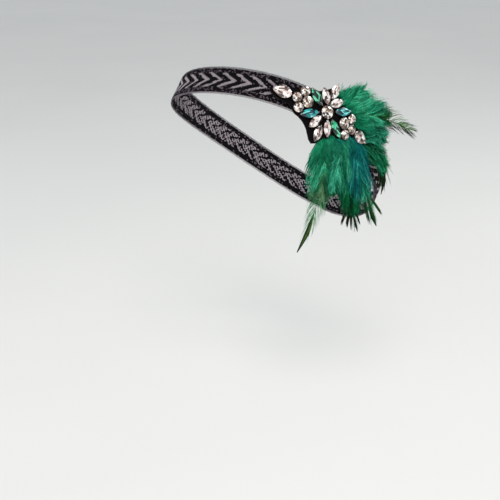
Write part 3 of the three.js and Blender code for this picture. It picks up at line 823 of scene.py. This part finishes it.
# root, bend and tip are aft of the middle stone and up from it; the layer is their height over it
# down grows from first to last along the shaft, reaches left and right, and leans from open to close
plumeRows = [
    {"name": "crest", "root": (10.5, 1.6), "bend": (17, 3), "tip": (33, 12), "layer": -2.8, "hug": 5.5,
     "first": 3, "last": 25, "left": (11, 6.5, 4, 2.5), "right": (9, 14, 17, 17), "open": 94, "close": 54,
     "barbs": 145, "wisps": 20, "spread": 1, "blade": 50, "lance": 1.8, "spikes": 0,
     "dye": "jade", "endDye": "jade", "slot": "feather_emerald"},
    {"name": "back_upper", "root": (13, -2), "bend": (49, -4.5), "tip": (73, -21), "layer": 0.8, "hug": 9.5,
     "first": 8, "last": 33, "left": (17, 21, 16, 9.5), "right": (3, 7, 8, 6), "open": 85, "close": 36,
     "barbs": 215, "wisps": 84, "spread": 1.75, "blade": 0, "lance": 0, "spikes": 0,
     "dye": "jade", "endDye": "olive", "quillDye": "#9a8a4e", "slot": "feather_forest"},
    {"name": "back_middle", "root": (17.5, -4.6), "bend": (34, -11), "tip": (48.5, -22), "layer": -3.4,
     "hug": 11, "first": 10, "last": 31, "left": (6, 9, 8), "right": (5, 12, 12), "open": 60, "close": 40,
     "barbs": 170, "wisps": 20, "spread": 1, "blade": 40, "lance": 1.6, "spikes": 0,
     "dye": "mint", "endDye": "mint", "slot": "feather_emerald"},
    {"name": "back_lower", "root": (27.3, -17.6), "bend": (53, -27), "tip": (45.8, -57), "layer": -6.6,
     "hug": 6, "first": 5, "last": 30, "left": (4, 4, 3), "right": (16, 18, 9), "open": 82, "close": 24,
     "barbs": 170, "wisps": 26, "spread": 1, "blade": 60, "lance": 1.4,
     "spikes": 4, "spikeFrom": -14, "fan": (-12, 3),
     "dye": "pine", "endDye": "forest", "slot": "feather_forest"},
    {"name": "hang_front", "root": (1.7, -11.2), "bend": (-1.5, -53), "tip": (-19.8, -87), "layer": -3.8,
     "hug": 1, "first": 5, "last": 39, "left": (8, 11, 12, 7), "right": (20, 26, 26, 18),
     "open": 80, "close": 40,
     "barbs": 220, "wisps": 110, "spread": 1.9, "blade": 150, "lance": 3.1, "spikes": 0,
     "dye": "emerald", "endDye": "sage", "slot": "feather_emerald"},
    {"name": "hang_middle", "root": (15.5, -12), "bend": (7, -32), "tip": (3.8, -54), "layer": -0.6,
     "hug": 8, "first": 9, "last": 36, "left": (10, 15, 18, 13), "right": (6, 7.5, 6),
     "open": 64, "close": 38,
     "barbs": 190, "wisps": 40, "spread": 1.1, "blade": 50, "lance": 1.6, "spikes": 0,
     "dye": "mint", "endDye": "mint", "slot": "feather_emerald"},
    {"name": "hang_rear", "root": (23, -13), "bend": (21.7, -45), "tip": (41.6, -78), "layer": -3.8,
     "hug": 10, "first": 7, "last": 42, "left": (11, 13, 12, 7), "right": (12, 16, 13, 8),
     "open": 64, "close": 22,
     "barbs": 190, "wisps": 60, "spread": 1.2, "blade": 110, "lance": 2.4,
     "spikes": 3, "spikeFrom": -4, "fan": (-15, 15),
     "dye": "teal", "endDye": "mint", "slot": "feather_teal"},
    {"name": "hang_under", "root": (18.6, -15.6), "bend": (18.7, -50), "tip": (30, -80), "layer": -9.6,
     "hug": 7.5, "first": 18, "last": 49, "left": (10, 15, 12), "right": (11, 15, 12),
     "open": 54, "close": 24,
     "barbs": 170, "wisps": 30, "spread": 1, "blade": 50, "lance": 1.2,
     "spikes": 5, "spikeFrom": -3, "fan": (-54, 14),
     "dye": "forest", "endDye": "forest", "slot": "feather_forest"},
]
dyes = {  # shade, body and light of the down, then the blade of the tip and its dark bars
    "emerald": ("#00492f", "#06a371", "#63ecc2", "#437a31", "#0b120a"),
    "jade": ("#005238", "#07ae7c", "#6bf0c8", "#437a31", "#0b120a"),
    "mint": ("#00462f", "#0a9f74", "#6cf0cc", "#2f6428", "#0f1a0d"),
    "teal": ("#00434a", "#029090", "#46d3c0", "#2a6a3a", "#0a130d"),
    "pine": ("#00371f", "#088758", "#45d2a0", "#1c3316", "#070b07"),
    "forest": ("#002410", "#066a3c", "#20b274", "#1c3316", "#070b07"),
    "sage": ("#1f5230", "#4f9765", "#9bcb9d", "#456530", "#0b120a"),
    "olive": ("#0f3012", "#1f6b33", "#57a25c", "#437a31", "#0b120a"),
}
rimRows = [  # feather, along the felt from and to, side of the felt, strands
    ("hang_front", 2, 13, -1, 120),
    ("hang_middle", 7, 22, -1, 120),
    ("hang_rear", 13, 34, -1, 120),
    ("back_middle", 27, 38, 1, 90),
    ("back_upper", 12, 30, 1, 110),
    ("crest", 3.5, 16, 1, 80),
]
sprayMiddle = onSpray(0.0, 0.0, 0.0)
sprayRun, sprayAcross, sprayNormal = sprayBasis(0.0, 0.0)
spanArcs = np.linspace(-90, 70, 641)  # of the ribbon under the feathers
spans = onSpray(spanArcs, 0, 0) - sprayMiddle
hangCos, hangSin = math.cos(loopSize["hangTurn"]), math.sin(loopSize["hangTurn"])


def onPlane(spot, height):
    aft, up = spot[..., 0], spot[..., 1]
    u, v = aft * hangCos - up * hangSin, aft * hangSin + up * hangCos
    flat = sprayMiddle + u[..., None] * sprayRun + v[..., None] * sprayAcross
    return flat + height[..., None] * sprayNormal


def ribbonHeight(u):
    return np.interp(u, spans @ sprayRun, spans @ sprayNormal)


def plumeHeight(row, spot, gone):
    aft, up = spot[..., 0], spot[..., 1]
    hang = np.maximum(0, -up - plumeSize["hangStart"]) ** 2 / (2 * plumeSize["hangBow"])
    away = np.maximum(0, aft - plumeSize["aftStart"]) ** 2 / (2 * plumeSize["aftBow"])
    free = plumeSize["seat"] + row["layer"] - hang - away
    along = np.minimum(aft * hangCos - up * hangSin, plumeSize["hugEnd"])
    close = ribbonHeight(along) + plumeSize["seat"]
    return close + (free - close) * ease(gone, row["hug"], row["hug"] + plumeSize["hugFade"])


def shaftLine(row):
    share = np.linspace(0, 1, 241)[:, None]
    root, bend, tip = (np.array(row[key], float) for key in ("root", "bend", "tip"))
    line = (1 - share) ** 2 * root + 2 * share * (1 - share) * bend + share ** 2 * tip
    gone = np.concatenate([[0], np.cumsum(np.linalg.norm(np.diff(line, axis=0), axis=1))])
    way = unit(np.gradient(line, axis=0))

    def at(distance):
        place = np.stack([np.interp(distance, gone, line[:, k]) for k in (0, 1)], axis=-1)
        heading = np.stack([np.interp(distance, gone, way[:, k]) for k in (0, 1)], axis=-1)
        return place, unit(heading)

    return at, gone[-1]


def turned(heading, angle):
    c, s = np.cos(angle), np.sin(angle)
    x, y = heading[..., 0], heading[..., 1]
    return np.stack([x * c - y * s, x * s + y * c], axis=-1)


def dyed(row, tone, part):
    root, end = (np.array([linear(colour) for colour in dyes[row[key]][:3]]) for key in ("dye", "endDye"))
    blend = np.broadcast_to(ease(part, *plumeSize["dyeChange"]), tone.shape)[..., None, None]
    shade, body, light = np.moveaxis(root + (end - root) * blend, -2, 0)
    tone = np.clip(tone, 0, 1)[..., None]
    return np.where(tone < 0.5, shade + (body - shade) * tone * 2, body + (light - body) * (tone * 2 - 1))


def bladed(row, bar):
    blade, dark = (np.array(linear(colour)) for colour in dyes[row["endDye"]][3:])
    return blade + (dark - blade) * np.clip(bar, 0, 1)[..., None]


def shaftStrand(row, at, length):
    gone = np.linspace(0, length, 26)
    place, _ = at(gone)
    path = onPlane(place, plumeHeight(row, place, gone) + 0.2)[None]
    size = plumeSize["quill"] * np.interp(gone / length, [0, 0.25, 1], [1, 0.6, 0.2])[None]
    points, faces = strands(path, size, size, sprayNormal)
    dye = np.array(linear(row.get("quillDye", plumeSize["quillDye"])))
    dark = np.array(linear(plumeSize["quillTip"]))
    tints = dye + (dark - dye) * ease(gone / length, 0.15, 0.6)[:, None]
    return points, faces, strandTints(tints[None])


def wavy(way, long, share, amount):  # sideways ripple of a soft strand
    phase = draw.uniform(0, 2 * np.pi, len(long))[:, None]
    ripple = np.sin(phase + share * long[:, None] * 0.9) * share * amount
    return turned(way, np.pi / 2) * ripple[..., None]


def gather(spot, lock, share):  # strands of one tuft lean on each other towards their ends
    middle = np.zeros((lock.max() + 1, *spot.shape[1:]))
    np.add.at(middle, lock, spot)
    middle /= np.maximum(np.bincount(lock), 1)[:, None, None]
    pull = (plumeSize["draft"] * share ** 1.3)[None, :, None]
    return spot + (middle[lock] - spot) * pull


def downBarbs(row, side, at, count, lift):
    start = row["first"] - 3 + (row["last"] - row["first"] + 3) * draw.random(count)
    part = np.clip((start - row["first"]) / (row["last"] - row["first"]), 0, 1)
    lock = np.floor((start + draw.normal(0, 0.9, count) + 60) / plumeSize["clump"]).astype(int)
    lock = np.unique(lock, return_inverse=True)[1]  # tufts, numbered along the shaft
    locks = lock.max() + 1
    mix = 0.2 + 0.85 * draw.random(count) ** 0.6  # most lean far out, a few lie along the shaft
    angle = np.radians(ramp([row["open"], row["close"]], part)) * mix
    angle = angle * (1 + draw.normal(0, 0.1, locks)[lock])
    reach = ramp(row["left"] if side > 0 else row["right"], part) * draw.normal(1, 0.1, count)
    long = np.maximum(reach, 0.6) / np.sin(np.maximum(angle * 0.75, 0.1))  # 0.75: barbs curve forward
    long = np.minimum(long, plumeSize["longest"] * draw.uniform(0.5, 1, count))
    room = (row["last"] + draw.uniform(-6, 8, count) - start) / np.cos(angle * 0.75)
    long = np.maximum(np.minimum(long, room), 2.5)  # none runs far past the end of the down
    place, heading = at(start)
    share = np.linspace(0, 1, plumeSize["stops"])
    way = turned(heading[:, None], side * angle[:, None] * (1 - 0.4 * share))
    spot = place[:, None] + way * (long[:, None] * share)[..., None]
    spot = gather(spot + wavy(way, long, share, plumeSize["ripple"]), lock, share)
    gone = start[:, None] + (long * np.cos(angle))[:, None] * share
    stand = draw.random(count) * (1.15 - 0.65 * mix)  # inner barbs stand higher
    rise = 0.15 + (stand * lift)[:, None] * share ** 1.1 * (1.2 - 0.4 * share)
    # painted shade: barbs that stand lower in the down are darker; the rest of the tone differs at random by
    # tuft and by barb
    tone = draw.uniform(-0.06, 0.62, locks)[lock] + 0.2 * stand + draw.normal(0.04, 0.2, count)
    tone = tone + 0.5 * (draw.random(count) < 0.14)  # some catch the light
    return onPlane(spot, plumeHeight(row, spot, gone) + rise), tone, part


def underBarbs(row, side, at, count):  # the lowest layer, which closes the gaps, painted dark as the shade deep in the down
    paths, _, part = downBarbs(row, side, at, count, 0.3)
    share = np.linspace(0, 1, paths.shape[1])
    broad = plumeSize["underWide"] * np.interp(share, [0, 0.6, 1], [0.7, 1, 0.3])
    broad = np.broadcast_to(broad, paths.shape[:2])
    thick = np.full(broad.shape, plumeSize["underThick"])
    points, faces = strands(paths - sprayNormal * plumeSize["underSunk"], broad, thick, sprayNormal)
    # painted shade: the under layer takes only the darkest tones
    tone = np.broadcast_to(draw.uniform(0.02, 0.3, (count, 1)), broad.shape)
    return points, faces, strandTints(dyed(row, tone, part[:, None]))


def underStone(u, v):
    covered = np.zeros(u.shape, bool)
    for _, _, along, across, turn, half, breadth, _ in stoneRows:
        c, s = math.cos(math.radians(turn)), math.sin(math.radians(turn))
        x, y = (u - along) * c + (v - across) * s, (v - across) * c - (u - along) * s
        covered |= (x / half) ** 2 + (y / breadth) ** 2 < 1.1
    return covered


def rimBarbs(row, low, high, sign, count):  # down that curls out over the felt's rim
    u = draw.uniform(low, high, count)
    below, above = feltReach(u)
    inside = draw.uniform(-0.4, plumeSize["overRim"], count)
    v = np.where(sign < 0, -below + inside, above - inside)
    v = np.where(underStone(u, v), np.where(sign < 0, -below - 0.3, above + 0.3), v)
    place = np.stack([u * hangCos + v * hangSin, v * hangCos - u * hangSin], axis=-1)
    aim = np.stack([0.25 * (place[:, 0] - 10) / 15, np.full(count, -1.0)], axis=-1)
    if sign > 0:
        aim = unit(place - np.array([2, 2])) + 0.6 * np.array([hangSin, hangCos])
    heading = turned(unit(aim), draw.normal(0, 0.3, count))
    long = draw.uniform(*plumeSize["rimLong"], count) * (0.7 if sign > 0 else 1)
    share = np.linspace(0, 1, plumeSize["stops"])
    way = np.repeat(heading[:, None], len(share), axis=1)
    spot = place[:, None] + way * (long[:, None] * share)[..., None]
    spot = spot + wavy(way, long, share, plumeSize["rimRipple"])
    top = ribbonHeight(u) + feltSize["under"] + feltSize["wall"] + 0.15
    end = plumeHeight(row, spot[:, -1], np.full(count, 30.0)) + draw.uniform(1, 4, count)
    hump = draw.uniform(0.6, 2, count)[:, None] * np.sin(np.pi * share)
    height = top[:, None] + (end - top)[:, None] * ease(share, 0.15, 1) + hump
    tone = draw.uniform(0.2, 0.75, count)
    return onPlane(spot, height), tone, np.zeros(count)


def barbParts(row, paths, tone, part):
    share = np.linspace(0, 1, paths.shape[1])
    size = (1 + 1.2 * ease(tone, 0.6, 0.9))[:, None] * plumeSize["barb"] * (1 - 0.55 * share)
    points, faces = strands(paths, size, size, sprayNormal)
    # painted shade near the shaft: each barb is darker at its root and lighter towards its end
    return points, faces, strandTints(dyed(row, tone[:, None] + 0.2 * (share - 0.4), part[:, None]))


def barbuleParts(row, paths, tone, part, each):
    count, stops, _ = paths.shape
    spot = np.linspace(0.08, 0.98, each) + draw.normal(0, 0.025, (count, each))
    spot = np.clip(spot, 0.02, 0.995) * (stops - 1)
    low = np.floor(spot).astype(int)
    rest = (spot - low)[..., None]
    barb = np.arange(count)[:, None]
    base = paths[barb, low] * (1 - rest) + paths[barb, low + 1] * rest
    way = unit(paths[barb, low + 1] - paths[barb, low])
    across = unit(np.cross(sprayNormal, way))
    spread = np.radians(draw.uniform(12, 44, (count, each)))
    turn = draw.uniform(0, 2 * np.pi, (count, each))  # all round the barb
    aside = across * np.cos(turn)[..., None] + sprayNormal * (0.8 * np.sin(turn))[..., None]
    aim = unit(way * np.cos(spread)[..., None] + aside * np.sin(spread)[..., None])
    long = np.linalg.norm(paths[:, -1] - paths[:, 0], axis=1)[:, None]
    long = np.minimum(draw.uniform(1.4, 3.8, (count, each)), 0.3 * long)[..., None]
    hair = np.stack([base, base + aim * long], axis=2).reshape(-1, 2, 3)
    size = np.full(hair.shape[:2], plumeSize["barbule"])
    points, faces = strands(hair, size, size, sprayNormal)
    tones = (tone[:, None] + draw.normal(0, 0.1, (count, each))).reshape(-1, 1)
    parts = np.repeat(part, each)[:, None]
    # painted shade: each barbule is darker at its root than at its end
    return points, faces, strandTints(dyed(row, tones + np.array([-0.06, 0.1]), parts))


def bladeParts(row, at, length):  # sparse pale barbs below the down, then the close dark blade
    bare, close = row["wisps"], row["blade"]
    span = length - row["last"]
    part = draw.random(bare)
    back = plumeSize["wispBack"]
    thin = row["last"] - back + (back + span * (0.45 if close else 0.75)) * part
    start = np.concatenate([thin, row["last"] + span * (0.33 + 0.65 * np.linspace(0, 1, close))])
    left = length - start
    angle = np.radians(ramp(plumeSize["wispAngle"], part) * row["spread"] * draw.uniform(0.4, 1.1, bare))
    long = ramp(plumeSize["wispReach"], part) * row["spread"] * draw.uniform(0.7, 1.1, bare)
    long = np.minimum(long / np.sin(angle), plumeSize["longest"] * 0.8)
    long = np.concatenate([np.minimum(long, left[:bare] + 1), 0.55 * left[bare:] + 1])
    lance = row["lance"] * (left[bare:] / (0.65 * span)) ** 0.65 / long[bare:]  # narrows to the tip
    angle = np.concatenate([angle, np.arcsin(np.minimum(lance, 0.5))])
    side = np.where(np.arange(bare + close) % 2 == 0, 1, -1)  # left and right by turns
    place, heading = at(np.minimum(start, length))
    stops = np.linspace(0, 1, 5)
    way = turned(heading[:, None], (angle * side)[:, None] * (1 - 0.4 * stops))
    spot = place[:, None] + way * (long[:, None] * stops)[..., None]
    isWisp = np.arange(bare + close) < bare
    spot = spot + wavy(way, long, stops, plumeSize["wispRipple"]) * isWisp[:, None, None]
    gone = start[:, None] + long[:, None] * stops
    height = plumeHeight(row, spot, gone) + 0.1 + draw.uniform(0, 0.25, (bare + close, 1))
    wisp = plumeSize["wisp"] if close else plumeSize["looseWisp"]
    wide = np.where(isWisp, wisp, plumeSize["blade"])[:, None] * (1 - 0.5 * stops)
    thick = np.full(wide.shape, plumeSize["bladeThick"])
    points, faces = strands(onPlane(spot, height), wide, thick, sprayNormal)
    bar = 0.32 - 0.35 * side[:, None] + 0.55 * stops + draw.normal(0, 0.12, (bare + close, 1))
    tints = bladed(row, bar)
    if close:
        tone = np.broadcast_to(draw.uniform(0.2, 0.7, (bare, 1)), (bare, len(stops)))
        tints[:bare] = dyed(row, tone, 1)
    return points, faces, strandTints(tints)


def spikeParts(row, at, length):  # stiff dark points that stand clear of the down near its end
    each = plumeSize["spikeBarbs"]
    lock = np.repeat(np.arange(row["spikes"]), each)
    fan = np.radians(np.linspace(*row["fan"], row["spikes"]) + draw.normal(0, 2.5, row["spikes"]))
    angle = fan[lock] + draw.normal(0, 0.05, len(lock))
    start = row["last"] + row["spikeFrom"] + draw.uniform(-2.5, 2.5, len(lock))
    long = (length - start) * draw.uniform(0.86, 1.02, row["spikes"])[lock] + draw.normal(0, 0.5, len(lock))
    share = np.linspace(0, 1, plumeSize["stops"])
    gone = start[:, None] + long[:, None] * np.cos(angle)[:, None] * share
    place, heading = at(gone)
    aside = (long * np.sin(angle))[:, None] * share * (1 - 0.3 * share)
    spot = gather(place + turned(heading, np.pi / 2) * aside[..., None], lock, share)
    lift = draw.uniform(0, 1.5, row["spikes"])[lock][:, None] * share
    height = plumeHeight(row, spot, gone) + 0.3 + lift
    size = plumeSize["spike"] * np.interp(share, [0, 0.5, 1], [0.6, 1, 0.45])
    size = np.broadcast_to(size, spot.shape[:2])
    points, faces = strands(onPlane(spot, height), size, size * 0.6, sprayNormal)
    bar = np.broadcast_to(draw.uniform(0.5, 1, (len(lock), 1)), spot.shape[:2])
    return points, faces, strandTints(bladed(row, bar))


def dyedBarb():
    # dyed hackle and down: matt keratin fibre with a faint silky sheen, uneven along each barb
    material, tree, place = startMaterial("dyed_feather_barb")
    tint = addNode(tree, "ShaderNodeAttribute", {"attribute_name": "tint"}, {})
    uneven = addNode(tree, "ShaderNodeTexNoise", {},
                     {"Vector": (place, "Object"), "Scale": 1 / (3 * mm), "Detail": 3})
    shade = addNode(tree, "ShaderNodeMapRange", {},
                    {"Value": (uneven, "Fac"), "From Min": 0.3, "From Max": 0.7,
                     "To Min": 0.7, "To Max": 1.25})
    colour = addNode(tree, "ShaderNodeVectorMath", {"operation": "SCALE"},
                     {0: (tint, "Color"), "Scale": (shade, "Result")})
    body = addNode(tree, "ShaderNodeBsdfPrincipled", {},
                   {"Base Color": (colour, "Vector"), "Roughness": 0.55, "Specular IOR Level": 0.08,
                    "Sheen Weight": 0.03, "Sheen Roughness": 0.35, "Sheen Tint": paint("#9fe8c6")})
    addNode(tree, "ShaderNodeOutputMaterial", {}, {"Surface": (body, "BSDF")})
    return material


barbMaterial = dyedBarb()
strandFaces = 0
for row in plumeRows:
    at, length = shaftLine(row)
    parts = [shaftStrand(row, at, length), bladeParts(row, at, length)]
    if row["spikes"]:
        parts.append(spikeParts(row, at, length))
    for side in (1, -1):
        parts.append(underBarbs(row, side, at, row["barbs"] // 2))
        barbs = downBarbs(row, side, at, row["barbs"], plumeSize["fluff"])
        parts += [barbParts(row, *barbs), barbuleParts(row, *barbs, plumeSize["barbules"])]
    for name, low, high, sign, count in rimRows:
        if name == row["name"]:
            barbs = rimBarbs(row, low, high, sign, count)
            parts += [barbParts(row, *barbs), barbuleParts(row, *barbs, plumeSize["rimBarbules"])]
    points, faces, tints = joined(parts)
    plume = arrayPiece("plume_" + row["name"], points, faces, [barbMaterial], tints=tints)
    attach(plume, "root")
    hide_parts("feather_" + row["name"])
    strandFaces += len(faces)
print("feathers dressed,", strandFaces, "triangles")


# Studio: pale floor, soft light and the photographed angle
studio = {
    "floor": -215,  # height of the floor under the loop's middle, in mm
    "floorSize": 80,
    "azimuth": math.radians(40.5),
    "pitch": math.radians(18.3),
    "middle": (21.7, 77.8, 735),  # loop's middle from the lens: right, up, away, in mm
    "lens": 74.5,
    "sensor": 36,
    "sky": "#e9eef0",
    "skyStrength": 0.8,
}


def studioPaper():
    # matt seamless paper with a faint fibre cloud, drawn a third of a metre across so that it shows
    material, tree, place = startMaterial("seamless_paper")
    cloud = addNode(tree, "ShaderNodeTexNoise", {},
                    {"Vector": (place, "Object"), "Scale": 1 / (333 * mm), "Detail": 5})
    colour = addNode(tree, "ShaderNodeMix", {"data_type": "RGBA"},
                     {0: (cloud, "Fac"), 6: paint("#dddcda"), 7: paint("#e5e4e1")})
    body = addNode(tree, "ShaderNodeBsdfPrincipled", {}, {"Base Color": (colour, 2), "Roughness": 0.85})
    addNode(tree, "ShaderNodeOutputMaterial", {}, {"Surface": (body, "BSDF")})
    return material


bpy.ops.mesh.primitive_plane_add(size=studio["floorSize"], location=(0, 0, studio["floor"] * mm))
floor = bpy.context.object
floor.name = "floor"
bpy.ops.object.transform_apply(location=True, rotation=False, scale=False)
floor.data.materials.append(studioPaper())

world = bpy.data.worlds.new("soft_room")
world.use_nodes = True
sky = world.node_tree.nodes["Background"]
sky.inputs["Color"].default_value = paint(studio["sky"])
sky.inputs["Strength"].default_value = studio["skyStrength"]
bpy.context.scene.world = world
bpy.context.scene.view_settings.view_transform = "Standard"  # colours as they are set

lamps = [  # name, place in metres, size, watts, colour
    ("key", (0.75, -0.85, 1.05), 0.6, 13, "#fffaf2"),
    ("fill", (-0.9, -0.9, 0.6), 1.1, 3, "#eef4ff"),
    ("rim", (0.5, 0.95, 0.9), 0.6, 5, "#ffffff"),
]
for name, place, size, watts, colour in lamps:
    light = bpy.data.lights.new(name, "AREA")
    light.size = size
    light.energy = watts
    light.color = linear(colour)
    lamp = bpy.data.objects.new(name, light)
    lamp.location = place
    lamp.rotation_euler = (-Vector(place)).to_track_quat("-Z", "Y").to_euler()
    bpy.context.scene.collection.objects.link(lamp)

azimuth, pitch = studio["azimuth"], studio["pitch"]
away = Vector((math.sin(azimuth) * math.cos(pitch), -math.cos(azimuth) * math.cos(pitch), math.sin(pitch)))
right = Vector((math.cos(azimuth), math.sin(azimuth), 0))
upward = away.cross(right)
toRight, toUp, distance = studio["middle"]
camera = bpy.data.objects.new("camera", bpy.data.cameras.new("camera"))
camera.data.lens = studio["lens"]
camera.data.sensor_width = studio["sensor"]
camera.location = (away * distance - right * toRight - upward * toUp) * mm
camera.rotation_euler = Matrix([[right[k], upward[k], away[k]] for k in range(3)]).to_euler()
bpy.context.scene.collection.objects.link(camera)
bpy.context.scene.camera = camera
print("studio ready")
